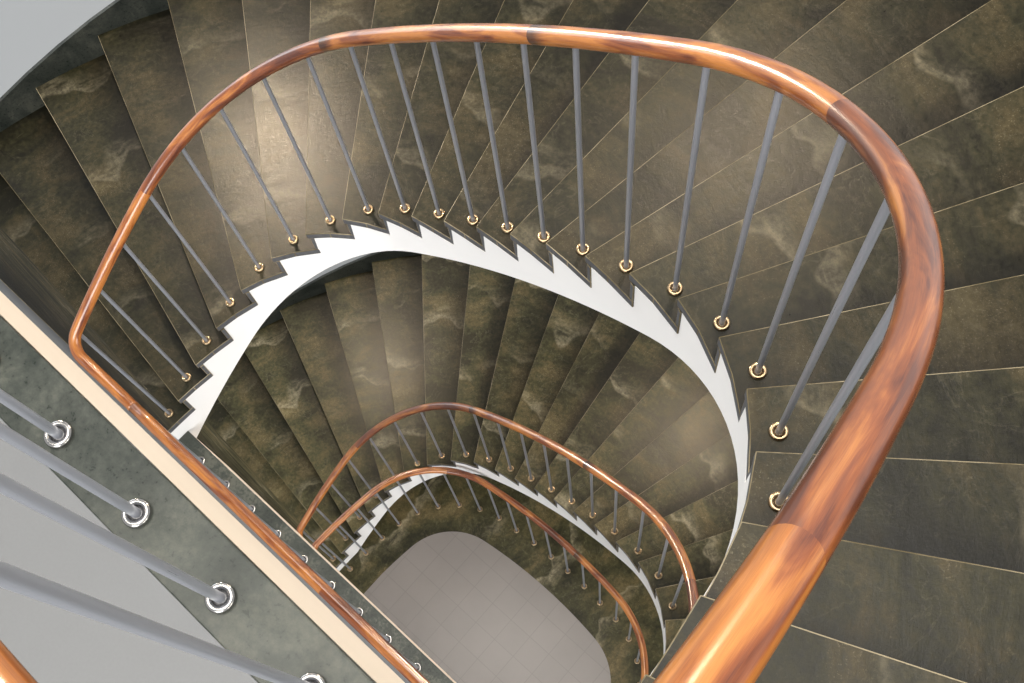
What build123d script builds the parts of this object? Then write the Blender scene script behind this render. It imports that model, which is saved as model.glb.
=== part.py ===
from build123d import *
import math
import os

# Two-storey winding staircase of concrete and stone round an open well.
# Millimetres, Z up. X = 0 is the plane of symmetry of the well and Y = 0 is the edge of the
# middle landing. The origin lies on the underside of the ground slab.

# Rise and turn
RISE = 145.0
STEPS = 24
STEP_TURN = 7.5
STOREY = RISE * (STEPS + 1)
LINES_BACK = 91.0
WALL_RADIUS = 3400.0

# Plan curve of the well edge: five tangent arcs, long legs, round corners and a flat middle
LEG_RADIUS = 3900.0
CORNER_RADIUS = 780.0
MIDDLE_RADIUS = 4520.0
LEG_TURN = 8.0
MIDDLE_TURN = 8.0

# Slabs and stone
GROUND_SLAB = 180.0
PAVING = 20.0
TREAD = 40.0
RISER = 20.0
NOSING = 10.0
WAIST_DROP = 305.0
LANDING_DEPTH = 2100.0
LANDING_SLAB = 160.0
EDGE_BEAM_DEPTH = 643.0
EDGE_BEAM_WIDTH = 220.0
FASCIA = 12.0
EDGE_STRIP = 110.0
TOP_EDGE_BACK = 16.0
JOINT = 0.3
SKIRTING = 20.0
SKIRTING_HEIGHT = 110.0

# Floor inside the lowest balustrade
BORDER_WIDTH = 280.0
BORDER_FRONT = 170.0

# Balustrade
RAIL_RADIUS = 25.0
RAIL_SIDES = 10
ROD_SIDES = 6
COLLAR_SIDES = 8
RAIL_FOOT = 1130.0
RAIL_HEAD = 1045.0
LANDING_RAIL_HEIGHT = 1050.0
BALUSTER_RADIUS = 8.0
COLLAR_RADIUS = 23.0
COLLAR_HEIGHT = 12.0
RAIL_INSET = 65.0
RING_INSET = 55.0
RING_CORNER = 65.0
RING_SPACING = 180.0
LANDING_SPACING = 192.0
MIDDLE_BALUSTERS = 13
TOP_BALUSTERS = 24
TOP_FIRST_BALUSTER = 1186.0
WREATH_RADIUS = 70.0
FOOT_WREATH_RUN = 400.0
HEAD_WREATH_RUN = 180.0
GROUND_WREATH_RUN = 250.0
MIDDLE_SPREAD = 28.0

# Levels of the finished floors
GROUND = GROUND_SLAB + PAVING
LANDING_1 = GROUND + STOREY
LANDING_2 = LANDING_1 + STOREY
RING_LEVEL = GROUND + LANDING_RAIL_HEIGHT

os.makedirs("parts", exist_ok=True)


def sine(degrees):
    return math.sin(math.radians(degrees))


def cosine(degrees):
    return math.cos(math.radians(degrees))


CORNER_END = 90.0 - LEG_TURN
WELL_DEPTH = (
    MIDDLE_RADIUS * (1 - cosine(MIDDLE_TURN))
    + CORNER_RADIUS * (cosine(MIDDLE_TURN) - cosine(CORNER_END))
    + LEG_RADIUS * cosine(CORNER_END)
)
HALF_WELL = (
    MIDDLE_RADIUS * sine(MIDDLE_TURN)
    + CORNER_RADIUS * (sine(CORNER_END) - sine(MIDDLE_TURN))
    + LEG_RADIUS * (1 - sine(CORNER_END))
)
HALF_EDGE = HALF_WELL - JOINT
TURN_RUN = math.radians(90.0) * WREATH_RADIUS


def well_point(heading, outward=0.0):
    """Plan point of the well edge where its direction of travel makes this angle with X."""
    size = abs(heading)
    middle = min(size, MIDDLE_TURN)
    corner = min(max(size, MIDDLE_TURN), CORNER_END)
    leg = max(size, CORNER_END)
    x = MIDDLE_RADIUS * sine(middle) + CORNER_RADIUS * (sine(corner) - sine(MIDDLE_TURN))
    x += LEG_RADIUS * (sine(leg) - sine(CORNER_END))
    y = WELL_DEPTH - MIDDLE_RADIUS * (1 - cosine(middle))
    y -= CORNER_RADIUS * (cosine(MIDDLE_TURN) - cosine(corner))
    y -= LEG_RADIUS * (cosine(CORNER_END) - cosine(leg))
    x += outward * sine(size)
    y += outward * cosine(size)
    return (-x if heading > 0 else x, y)


def well_arcs(outward=0.0):
    """The five arcs of the well edge, left to right, inside an open BuildLine."""
    headings = [90.0, CORNER_END, MIDDLE_TURN, -MIDDLE_TURN, -CORNER_END, -90.0]
    for start, end in zip(headings, headings[1:]):
        ThreePointArc(
            well_point(start, outward),
            well_point((start + end) / 2, outward),
            well_point(end, outward),
        )


def well_heading(ray, outward):
    """Direction of travel of the left half of the well edge where a ray crosses it."""
    low = 0.0
    high = 90.0
    for _ in range(40):
        heading = (low + high) / 2
        x, y = well_point(heading, outward)
        if math.degrees(math.atan2(y + LINES_BACK, x)) < ray:
            low = heading
        else:
            high = heading
    return heading


def well_distance(angle, outward=0.0):
    """Distance from the turning centre to the well edge along a ray at this plan angle."""
    ray = max(angle, 180.0 - angle)
    side = HALF_WELL + outward
    if ray >= 180.0 - math.degrees(math.atan2(LINES_BACK, side)):
        return side / abs(cosine(ray))
    x, y = well_point(well_heading(ray, outward), outward)
    return math.hypot(x, y + LINES_BACK)


def arc_run(heading, outward):
    """Length of the well edge from its left end to this direction of travel."""
    corner = max(min(heading, CORNER_END), MIDDLE_TURN)
    run = (LEG_RADIUS + outward) * math.radians(90.0 - max(heading, CORNER_END))
    run += (CORNER_RADIUS + outward) * math.radians(CORNER_END - corner)
    return run + (MIDDLE_RADIUS + outward) * math.radians(MIDDLE_TURN - min(heading, MIDDLE_TURN))


def run_share(angle, outward=0.0):
    """Share of the plan length between the foot riser and the head riser, at a plan angle."""
    ray = max(angle, 180.0 - angle)
    side = HALF_WELL + outward
    if ray >= 180.0 - math.degrees(math.atan2(LINES_BACK, side)):
        run = side * abs(sine(ray) / cosine(ray))
    else:
        run = LINES_BACK + arc_run(well_heading(ray, outward), outward)
    share = run / (2 * (LINES_BACK + arc_run(0.0, outward)))
    return share if angle >= 90.0 else 1 - share


def ray_point(angle, distance):
    return (distance * cosine(angle), distance * sine(angle) - LINES_BACK)


def riser_angle(step):
    """Plan angle of the front face of a riser; riser 1 leaves the floor below."""
    return 180.0 - STEP_TURN * (step - 1)


def shifted(angle, distance, forward):
    """Point on a ray, moved square to the ray in the climbing direction."""
    x, y = ray_point(angle, distance)
    return (x + forward * sine(angle), y - forward * cosine(angle))


def strip_outline(front, back, front_shift, back_shift):
    """Corners of a slab on one step: well side from front to back, then the wall side."""
    inner_front = well_distance(front)
    inner_back = well_distance(back)
    middle = (front + back) / 2
    outline = [shifted(front, inner_front, front_shift)]
    if front - back > 1:
        outline.append(ray_point(middle, well_distance(middle)))
    outline.append(shifted(back, inner_back, back_shift))
    outline.append(shifted(back, WALL_RADIUS, back_shift))
    if front - back > 1:
        outline.append(ray_point(middle, WALL_RADIUS))
    outline.append(shifted(front, WALL_RADIUS, front_shift))
    return outline


def soffit(climbed):
    """Height of the sloping underside above the floor left below, after a number of steps."""
    return RISE * (1 + climbed) - TREAD - WAIST_DROP


def half_step_block(start, end, inner, low, high):
    """Upright block between two rays, from the given inner distance out to the wall."""
    with BuildSketch(Plane.XY.offset(low)) as plan:
        with BuildLine():
            Polyline(
                ray_point(start, inner(start)),
                ray_point(start, WALL_RADIUS),
                ray_point(end, WALL_RADIUS),
                ray_point(end, inner(end)),
                close=True,
            )
        make_face()
    return extrude(plan.sketch, amount=high - low, mode=Mode.PRIVATE)


def facet(first, second, third):
    """Plane through three points, facing up."""
    origin = Vector(first)
    along = Vector(second) - origin
    across = Vector(third) - origin
    normal = along.cross(across)
    if normal.Z < 0:
        normal = -normal
    return Plane(origin=origin, x_dir=along, z_dir=normal)


def flight_steps(floor, lowest):
    """Concrete steps on a sloping waist: two flat facets under every half step."""
    for half in range(2 * STEPS):
        step = half // 2 + 1
        start = riser_angle(1 + half / 2)
        end = riser_angle(1.5 + half / 2)
        top = floor + RISE * step - TREAD
        well_start = floor + soffit(STEPS * run_share(start))
        well_end = floor + soffit(STEPS * run_share(end))
        wall_start = floor + soffit(half / 2)
        wall_end = floor + soffit(half / 2 + 0.5)
        inner_start = (*ray_point(start, well_distance(start)), well_start)
        inner_end = (*ray_point(end, well_distance(end)), well_end)
        outer_start = (*ray_point(start, WALL_RADIUS), wall_start)
        outer_end = (*ray_point(end, WALL_RADIUS), wall_end)
        base = max(min(well_start, wall_start), lowest)
        block = half_step_block(start, end, well_distance, base, top)
        if max(well_end, wall_end) > lowest:
            for plane in (
                facet(inner_start, outer_start, outer_end),
                facet(inner_start, outer_end, inner_end),
            ):
                block = split(block, bisect_by=plane, keep=Keep.TOP, mode=Mode.PRIVATE)
        add(block)


def riser_slabs(floor, mode=Mode.ADD):
    """Upright stone slabs, one under each tread and one under the landing nosing."""
    for step in range(1, STEPS + 2):
        angle = riser_angle(step)
        with BuildSketch(Plane.XY.offset(floor + RISE * (step - 1))) as outline:
            with BuildLine():
                Polyline(strip_outline(angle, angle, 0, RISER), close=True)
            make_face()
        extrude(outline.sketch, amount=RISE - TREAD, mode=mode)


def tread_slabs(floor, mode=Mode.ADD):
    """Stone treads: each runs from its nosing to the back of the next riser."""
    for step in range(1, STEPS + 1):
        front = riser_angle(step)
        back = riser_angle(step + 1)
        with BuildSketch(Plane.XY.offset(floor + RISE * step - TREAD)) as outline:
            with BuildLine():
                Polyline(strip_outline(front, back, -NOSING, RISER), close=True)
            make_face()
        extrude(outline.sketch, amount=TREAD, mode=mode)


def skirting_face(angle):
    return WALL_RADIUS - SKIRTING


def skirting_top(angle):
    """Point of the skirting's top edge at the wall, above the floor that the flight leaves."""
    height = RISE * (1 + (180.0 - angle) / STEP_TURN) + SKIRTING_HEIGHT
    return (*ray_point(angle, WALL_RADIUS), height)


def skirting_slabs(floor):
    """Raking stone skirting against the wall, stepped to the treads below it."""
    for half in range(2 * STEPS):
        step = half // 2 + 1
        start = riser_angle(1 + half / 2)
        end = riser_angle(1.5 + half / 2)
        edge_start = Vector(skirting_top(start)) + (0, 0, floor)
        edge_end = Vector(skirting_top(end)) + (0, 0, floor)
        inner = Vector(*ray_point(start, WALL_RADIUS - SKIRTING), edge_start.Z)
        block = half_step_block(start, end, skirting_face, floor + RISE * step, edge_end.Z + RISE)
        rake = facet(edge_start, edge_end, inner)
        add(split(block, bisect_by=rake, keep=Keep.BOTTOM, mode=Mode.PRIVATE))


def landing_corners(back, edge):
    """Plan of a landing from a back line to its edge, which comes forward across the well."""
    return [
        (-WALL_RADIUS, back),
        (WALL_RADIUS, back),
        (WALL_RADIUS, -LINES_BACK),
        (HALF_EDGE, -LINES_BACK),
        (HALF_EDGE, edge),
        (-HALF_EDGE, edge),
        (-HALF_EDGE, -LINES_BACK),
        (-WALL_RADIUS, -LINES_BACK),
    ]


def strip_corners(edge):
    """Plan of the edge stone: along the well, then over the last riser to the wall."""
    nosing = NOSING - LINES_BACK
    return [
        (-HALF_EDGE, edge),
        (HALF_EDGE, edge),
        (HALF_EDGE, nosing),
        (WALL_RADIUS, nosing),
        (WALL_RADIUS, nosing - EDGE_STRIP),
        (HALF_EDGE - EDGE_STRIP, nosing - EDGE_STRIP),
        (HALF_EDGE - EDGE_STRIP, edge - EDGE_STRIP),
        (-HALF_EDGE, edge - EDGE_STRIP),
    ]


def landing_concrete(floor, edge):
    """Landing slab with the deep edge beam that carries both flights."""
    face = edge - FASCIA
    with BuildSketch(Plane.XY.offset(floor - TREAD)) as slab:
        with BuildLine():
            Polyline(landing_corners(-LANDING_DEPTH, face), close=True)
        make_face()
    extrude(slab.sketch, amount=-LANDING_SLAB)
    with BuildSketch(Plane.XY.offset(floor - TREAD)) as beam:
        with BuildLine():
            Polyline(landing_corners(-LINES_BACK - EDGE_BEAM_WIDTH, face), close=True)
        make_face()
    extrude(beam.sketch, amount=TREAD - EDGE_BEAM_DEPTH)


def edge_strip(floor, edge):
    """Stone strip along the landing edge, under the balusters."""
    with BuildSketch(Plane.XY.offset(floor - TREAD)) as strip:
        with BuildLine():
            Polyline(strip_corners(edge), close=True)
        make_face()
    extrude(strip.sketch, amount=TREAD)


def landing_floor(floor, edge):
    """Floor finish behind the edge strip."""
    with BuildSketch(Plane.XY.offset(floor - TREAD)) as finish:
        with BuildLine():
            Polyline(landing_corners(-LANDING_DEPTH, edge), close=True)
        make_face()
        with BuildLine():
            Polyline(strip_corners(edge), close=True)
        make_face(mode=Mode.SUBTRACT)
    extrude(finish.sketch, amount=TREAD)


def rake_height(angle):
    """Height of a flight rail's axis above the floor below: an even slope along its plan line."""
    rise = STOREY + RAIL_HEAD - RAIL_FOOT
    return RAIL_FOOT + rise * run_share(angle, RAIL_INSET)


def rail_end(wreath_run):
    """Distance from the middle of the well to the end of a wreath of this length."""
    return HALF_WELL + RAIL_INSET - WREATH_RADIUS + TURN_RUN - wreath_run


def wreath(side, inset, start_height, level, wreath_run):
    """Quarter turn and short straight in which a flight rail eases to a landing rail's level."""
    centre_x = HALF_WELL + RAIL_INSET - WREATH_RADIUS
    centre_y = -inset + WREATH_RADIUS
    runs = [TURN_RUN * quarter / 4 for quarter in range(5)]
    runs += [(TURN_RUN + wreath_run) / 2, wreath_run]
    points = []
    for run in runs:
        angle = min(math.degrees(run / WREATH_RADIUS), 90.0)
        straight = max(run - TURN_RUN, 0.0)
        x = side * (centre_x + WREATH_RADIUS * cosine(angle) - straight)
        y = centre_y - WREATH_RADIUS * sine(angle)
        left = 1 - run / wreath_run
        points.append((x, y, level + (start_height - level) * left * left))
    return points


def flight_rail_points(floor, lower_inset, upper_inset, foot_run):
    """Axis of a flight rail from its lower wreath to its upper one."""
    side = HALF_WELL + RAIL_INSET
    lower_turn = math.degrees(math.atan2(LINES_BACK - lower_inset + WREATH_RADIUS, side))
    upper_turn = math.degrees(math.atan2(LINES_BACK - upper_inset + WREATH_RADIUS, side))
    lower_height = floor + rake_height(180.0 - lower_turn)
    upper_height = floor + rake_height(upper_turn)
    level = floor + LANDING_RAIL_HEIGHT
    lower = wreath(-1, lower_inset, lower_height, level, foot_run)
    upper = wreath(1, upper_inset, upper_height, level + STOREY, HEAD_WREATH_RUN)
    points = list(reversed(lower))
    for half_step in range(2, 2 * STEPS - 1):
        angle = 180.0 - STEP_TURN * half_step / 2
        # Over the flat middle of the well one length spans a whole step
        if half_step % 2 and abs(angle - 90.0) < MIDDLE_SPREAD:
            continue
        x, y = ray_point(angle, well_distance(angle, RAIL_INSET))
        points.append((x, y, floor + rake_height(angle)))
    return points + upper


def rod(path_points, radius):
    """Round bar in short mitred lengths from point to point."""
    with BuildLine() as axis:
        Polyline(*path_points)
    with BuildSketch(Plane(origin=axis.line @ 0, z_dir=axis.line % 0)) as section:
        RegularPolygon(radius, RAIL_SIDES)
    sweep(section.sketch, path=axis.line, transition=Transition.RIGHT)


def flight_places(floor):
    """Foot of the baluster at the middle of each tread, with the rail axis over it."""
    places = []
    for step in range(1, STEPS + 1):
        angle = riser_angle(step + 0.5)
        x, y = ray_point(angle, well_distance(angle, RAIL_INSET))
        places.append((x, y, floor + RISE * step, floor + rake_height(angle)))
    return places


def landing_places(first, count, y, floor):
    """Baluster feet at even spacing along a straight landing edge, from right to left."""
    places = []
    for index in range(count):
        x = first - LANDING_SPACING * index
        places.append((x, y, floor, floor + LANDING_RAIL_HEIGHT))
    return places


def ring_half_points():
    """Axis of the left half of the ring rail, from the middle of its near side to the far side."""
    side = HALF_WELL - RING_INSET
    points = [(0, -RING_CORNER, RING_LEVEL)]
    for angle in (90.0, 67.5, 45.0, 22.5):
        x = RING_CORNER - side - RING_CORNER * cosine(angle)
        points.append((x, -RING_CORNER * sine(angle), RING_LEVEL))
    corner_turn = CORNER_END - MIDDLE_TURN
    headings = [90.0, (90.0 + CORNER_END) / 2]
    headings += [CORNER_END - corner_turn * part / 8 for part in range(9)]
    headings.append(MIDDLE_TURN / 3)
    for heading in headings:
        points.append((*well_point(heading, -RING_INSET), RING_LEVEL))
    points.append((0, points[-1][1], RING_LEVEL))
    return points


def ring_places(line):
    """Baluster feet at even spacing along both halves of the closed lowest rail."""
    places = []
    count = round(line.length / RING_SPACING)
    for index in range(count):
        point = line @ ((index + 0.5) / count)
        for x in (point.X, -point.X):
            places.append((x, point.Y, GROUND, RING_LEVEL))
    return places


def collar_discs(places):
    """Low round collars on the stone."""
    for x, y, foot, rail in places:
        with BuildSketch(Plane.XY.offset(foot)) as disc:
            with Locations((x, y)):
                RegularPolygon(COLLAR_RADIUS, COLLAR_SIDES)
        extrude(disc.sketch, amount=COLLAR_HEIGHT)


def baluster_rods(places, rail):
    """Upright rods from the collars into the underside of the rail."""
    for x, y, foot, axis in places:
        with BuildSketch(Plane.XY.offset(foot + COLLAR_HEIGHT)) as section:
            with Locations((x, y)):
                RegularPolygon(BALUSTER_RADIUS, ROD_SIDES)
        extrude(section.sketch, amount=axis - foot - COLLAR_HEIGHT)
    add(rail, mode=Mode.SUBTRACT)


# Ground slab, shaped to the plan of the staircase
with BuildPart() as ground_slab:
    with BuildSketch() as ground_plan:
        with Locations((0, -LINES_BACK)):
            Circle(WALL_RADIUS)
        with Locations((0, -LINES_BACK - WALL_RADIUS / 2)):
            Rectangle(2 * WALL_RADIUS, WALL_RADIUS, mode=Mode.SUBTRACT)
        with Locations((0, -(LANDING_DEPTH + LINES_BACK) / 2)):
            Rectangle(2 * WALL_RADIUS, LANDING_DEPTH - LINES_BACK)
    extrude(amount=GROUND_SLAB)
ground_slab.part.label = "ground_slab"

# Light floor inside the border
with BuildPart() as well_floor:
    with BuildSketch(Plane.XY.offset(GROUND_SLAB)) as well_floor_plan:
        with BuildLine():
            well_arcs(-BORDER_WIDTH)
            Line(well_point(-90.0, -BORDER_WIDTH), well_point(90.0, -BORDER_WIDTH))
        make_face()
        with Locations((0, BORDER_FRONT / 2)):
            Rectangle(2 * HALF_WELL, BORDER_FRONT, mode=Mode.SUBTRACT)
    extrude(amount=PAVING)
well_floor.part.label = "well_floor"

# Dark border that carries the lowest balustrade
with BuildPart() as well_border:
    with BuildSketch(Plane.XY.offset(GROUND_SLAB)) as border_plan:
        with BuildLine():
            well_arcs()
            Polyline(
                well_point(-90.0),
                (HALF_WELL, -LINES_BACK - BORDER_WIDTH / 2),
                (-HALF_WELL, -LINES_BACK - BORDER_WIDTH / 2),
                well_point(90.0),
            )
        make_face()
        add(well_floor_plan.sketch_local, mode=Mode.SUBTRACT)
    extrude(amount=PAVING)
well_border.part.label = "well_border"

# Paving between the border and the walls
with BuildPart() as ground_paving:
    with BuildSketch(Plane.XY.offset(GROUND_SLAB)):
        add(ground_plan.sketch_local)
        add(well_floor_plan.sketch_local, mode=Mode.SUBTRACT)
        add(border_plan.sketch_local, mode=Mode.SUBTRACT)
    extrude(amount=PAVING)
ground_paving.part.label = "ground_paving"

# Stone risers of both flights
with BuildPart() as lower_risers:
    riser_slabs(GROUND)
lower_risers.part.label = "lower_risers"

with BuildPart() as upper_risers:
    riser_slabs(LANDING_1)
upper_risers.part.label = "upper_risers"

# Stone treads of both flights
with BuildPart() as lower_treads:
    tread_slabs(GROUND)
lower_treads.part.label = "lower_treads"

with BuildPart() as upper_treads:
    tread_slabs(LANDING_1)
upper_treads.part.label = "upper_treads"

# Concrete of both flights, with pockets for the stone risers
with BuildPart() as lower_flight:
    flight_steps(GROUND, GROUND)
    riser_slabs(GROUND, mode=Mode.SUBTRACT)
    tread_slabs(GROUND, mode=Mode.SUBTRACT)
lower_flight.part.label = "lower_flight"

with BuildPart() as upper_flight:
    flight_steps(LANDING_1, GROUND)
    riser_slabs(LANDING_1, mode=Mode.SUBTRACT)
    tread_slabs(LANDING_1, mode=Mode.SUBTRACT)
upper_flight.part.label = "upper_flight"

# Middle landing
with BuildPart() as middle_landing:
    landing_concrete(LANDING_1, 0)
    add(lower_risers.part, mode=Mode.SUBTRACT)
    add(lower_treads.part, mode=Mode.SUBTRACT)
middle_landing.part.label = "middle_landing"

with BuildPart() as middle_edge_strip:
    edge_strip(LANDING_1, 0)
middle_edge_strip.part.label = "middle_edge_strip"

with BuildPart() as middle_floor:
    landing_floor(LANDING_1, 0)
middle_floor.part.label = "middle_floor"

with BuildPart() as middle_fascia:
    with BuildSketch(Plane.XY.offset(LANDING_1 - TREAD)):
        with Locations((0, -FASCIA / 2)):
            Rectangle(2 * HALF_EDGE, FASCIA)
    extrude(amount=TREAD - EDGE_BEAM_DEPTH)
middle_fascia.part.label = "middle_fascia"

# Top landing
TOP_EDGE = -TOP_EDGE_BACK
with BuildPart() as top_landing:
    landing_concrete(LANDING_2, TOP_EDGE)
    add(upper_risers.part, mode=Mode.SUBTRACT)
    add(upper_treads.part, mode=Mode.SUBTRACT)
top_landing.part.label = "top_landing"

with BuildPart() as top_edge_strip:
    edge_strip(LANDING_2, TOP_EDGE)
top_edge_strip.part.label = "top_edge_strip"

with BuildPart() as top_floor:
    landing_floor(LANDING_2, TOP_EDGE)
top_floor.part.label = "top_floor"

with BuildPart() as top_fascia:
    with BuildSketch(Plane.XY.offset(LANDING_2 - TREAD)):
        with Locations((0, TOP_EDGE - FASCIA / 2)):
            Rectangle(2 * HALF_EDGE, FASCIA)
    extrude(amount=TREAD - EDGE_BEAM_DEPTH)
top_fascia.part.label = "top_fascia"

# Raking skirtings at the wall
with BuildPart() as lower_skirting:
    skirting_slabs(GROUND)
    tread_slabs(GROUND, mode=Mode.SUBTRACT)
    add(middle_edge_strip.part, mode=Mode.SUBTRACT)
lower_skirting.part.label = "lower_skirting"

with BuildPart() as upper_skirting:
    skirting_slabs(LANDING_1)
    tread_slabs(LANDING_1, mode=Mode.SUBTRACT)
    add(top_edge_strip.part, mode=Mode.SUBTRACT)
upper_skirting.part.label = "upper_skirting"

# Handrails
TOP_RAIL_INSET = RAIL_INSET + TOP_EDGE_BACK
RAIL_LEFT = -rail_end(FOOT_WREATH_RUN)
RAIL_RIGHT = rail_end(HEAD_WREATH_RUN)

with BuildPart() as ring_handrail:
    rod(ring_half_points(), RAIL_RADIUS)
    mirror(about=Plane.YZ)
ring_handrail.part.label = "ring_handrail"

# The foot of the lower rail stops inside the corner of the ring rail
with BuildPart() as lower_handrail:
    rod(flight_rail_points(GROUND, RAIL_INSET, RAIL_INSET, GROUND_WREATH_RUN)[1:], RAIL_RADIUS)
    add(ring_handrail.part, mode=Mode.SUBTRACT)
lower_handrail.part.label = "lower_handrail"

with BuildPart() as upper_handrail:
    rod(flight_rail_points(LANDING_1, RAIL_INSET, TOP_RAIL_INSET, FOOT_WREATH_RUN), RAIL_RADIUS)
upper_handrail.part.label = "upper_handrail"

with BuildPart() as middle_handrail:
    with BuildSketch(Plane.YZ.offset(RAIL_LEFT)):
        with Locations((-RAIL_INSET, LANDING_1 + LANDING_RAIL_HEIGHT)):
            RegularPolygon(RAIL_RADIUS, RAIL_SIDES)
    extrude(amount=RAIL_RIGHT - RAIL_LEFT)
middle_handrail.part.label = "middle_handrail"

with BuildPart() as top_handrail:
    with BuildSketch(Plane.YZ.offset(-WALL_RADIUS)):
        with Locations((-TOP_RAIL_INSET, LANDING_2 + LANDING_RAIL_HEIGHT)):
            RegularPolygon(RAIL_RADIUS, RAIL_SIDES)
    extrude(amount=WALL_RADIUS + RAIL_RIGHT)
top_handrail.part.label = "top_handrail"


# Balusters and their collars
lower_places = flight_places(GROUND)
upper_places = flight_places(LANDING_1)
MIDDLE_FIRST = LANDING_SPACING * (MIDDLE_BALUSTERS - 1) / 2
middle_places = landing_places(MIDDLE_FIRST, MIDDLE_BALUSTERS, -RAIL_INSET, LANDING_1)
top_places = landing_places(TOP_FIRST_BALUSTER, TOP_BALUSTERS, -TOP_RAIL_INSET, LANDING_2)
with BuildLine() as ring_axis:
    Polyline(*ring_half_points())
ring_feet = ring_places(ring_axis.wires()[0])

with BuildPart() as lower_balusters:
    baluster_rods(lower_places, lower_handrail.part)
lower_balusters.part.label = "lower_balusters"

with BuildPart() as upper_balusters:
    baluster_rods(upper_places, upper_handrail.part)
upper_balusters.part.label = "upper_balusters"

with BuildPart() as middle_balusters:
    baluster_rods(middle_places, middle_handrail.part)
    add(upper_handrail.part, mode=Mode.SUBTRACT)
middle_balusters.part.label = "middle_balusters"

with BuildPart() as top_balusters:
    baluster_rods(top_places, top_handrail.part)
top_balusters.part.label = "top_balusters"

with BuildPart() as ring_balusters:
    baluster_rods(ring_feet, ring_handrail.part)
ring_balusters.part.label = "ring_balusters"

with BuildPart() as lower_collars:
    collar_discs(lower_places)
lower_collars.part.label = "lower_collars"

with BuildPart() as upper_collars:
    collar_discs(upper_places)
upper_collars.part.label = "upper_collars"

with BuildPart() as middle_collars:
    collar_discs(middle_places)
middle_collars.part.label = "middle_collars"

with BuildPart() as top_collars:
    collar_discs(top_places)
top_collars.part.label = "top_collars"

with BuildPart() as ring_collars:
    collar_discs(ring_feet)
ring_collars.part.label = "ring_collars"

PARTS = [
    ground_slab,
    well_floor,
    well_border,
    ground_paving,
    lower_risers,
    upper_risers,
    lower_treads,
    upper_treads,
    lower_flight,
    upper_flight,
    lower_skirting,
    upper_skirting,
    middle_landing,
    middle_edge_strip,
    middle_floor,
    middle_fascia,
    top_landing,
    top_edge_strip,
    top_floor,
    top_fascia,
    lower_handrail,
    upper_handrail,
    middle_handrail,
    top_handrail,
    ring_handrail,
    lower_balusters,
    upper_balusters,
    middle_balusters,
    top_balusters,
    ring_balusters,
    lower_collars,
    upper_collars,
    middle_collars,
    top_collars,
    ring_collars,
]

for item in PARTS:
    export_step(item.part, "parts/" + item.part.label + ".step")
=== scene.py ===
import math

import bmesh
import bpy
from bpy.props import FloatProperty, FloatVectorProperty, IntProperty, PointerProperty
from mathutils import Matrix, Vector


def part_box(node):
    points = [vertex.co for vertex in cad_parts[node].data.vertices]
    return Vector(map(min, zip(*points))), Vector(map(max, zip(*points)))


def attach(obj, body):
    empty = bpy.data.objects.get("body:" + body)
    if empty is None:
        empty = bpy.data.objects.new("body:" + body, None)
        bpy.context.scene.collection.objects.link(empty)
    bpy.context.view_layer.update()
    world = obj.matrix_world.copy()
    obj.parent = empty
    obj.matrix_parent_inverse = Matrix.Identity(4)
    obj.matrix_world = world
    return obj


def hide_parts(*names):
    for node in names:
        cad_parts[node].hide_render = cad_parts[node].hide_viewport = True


bl_info = {
    "name": "Winding Staircase Finishes",
    "version": (1, 0, 0),
    "blender": (4, 5, 0),
    "location": "View3D > Sidebar > Staircase",
    "description": "Stone, render, wood and steel for a two-storey winding staircase",
    "category": "Object",
}

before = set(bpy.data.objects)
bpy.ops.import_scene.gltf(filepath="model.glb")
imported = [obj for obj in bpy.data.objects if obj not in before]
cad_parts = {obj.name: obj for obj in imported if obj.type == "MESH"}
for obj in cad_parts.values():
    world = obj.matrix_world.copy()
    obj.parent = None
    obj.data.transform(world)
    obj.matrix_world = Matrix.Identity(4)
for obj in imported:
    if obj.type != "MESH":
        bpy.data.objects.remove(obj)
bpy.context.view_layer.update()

# Levels and outer sizes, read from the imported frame
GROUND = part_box("ground_paving")[1].z
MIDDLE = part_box("middle_floor")[1].z
WALL_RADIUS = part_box("ground_slab")[1].x
STEPS = 24
STEP_TURN = 180.0 / STEPS
STOREY = MIDDLE - GROUND
RISE = STOREY / (STEPS + 1)

# All riser lines meet at one centre, this far in front of the origin
LINES_BACK = WALL_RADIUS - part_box("ground_slab")[1].y

# Plan curve of the well edge: tangent arcs, their radii in metres and their turns in degrees
LEG_RADIUS = 3.9
CORNER_RADIUS = 0.78
MIDDLE_RADIUS = 4.52
LEG_TURN = 8.0
MIDDLE_TURN = 8.0
CORNER_END = 90.0 - LEG_TURN

# Halvings of the range in which a ray's crossing with the well edge is looked for
HALVINGS = 40

# Thickness of the tread and riser slabs, and of the concrete below them at each riser line
TREAD = 0.04
RISER = 0.02
WAIST_DROP = 0.305

# Parts in which each step of a flight's concrete is cut
SLICES = 4

# Meshes: gap between corners that are one, turn up to which faces are flat and shading is smooth
WELD = 1e-5
FLAT_TURN = math.radians(0.4)
SHARP_TURN = math.radians(30)

# Slab edges: faces turned this squarely to the well are sawn, arrises are rounded in a few cuts
SAWN_FACING = -0.8
ARRIS_CUTS = 2
ARRIS_ROUND = 0.6

# Slab depths: corners past this share of the wall radius give a slab's width; risers take painted shade,
# darkest at their foot and fading upwards
OUTER_SHARE = 0.7
RISER_FOOT_SHARE = 0.9
RISER_SHADE_FADE = 0.4

# Lot numbers run from 0 to 1 by this step, and one whole lot lies this far from the next
LOT_STEP = 0.618
LOT_APART = 40.0

# Y of the near edge of the light floor where it runs on over the border
TILES_NEAR = -0.1

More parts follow.
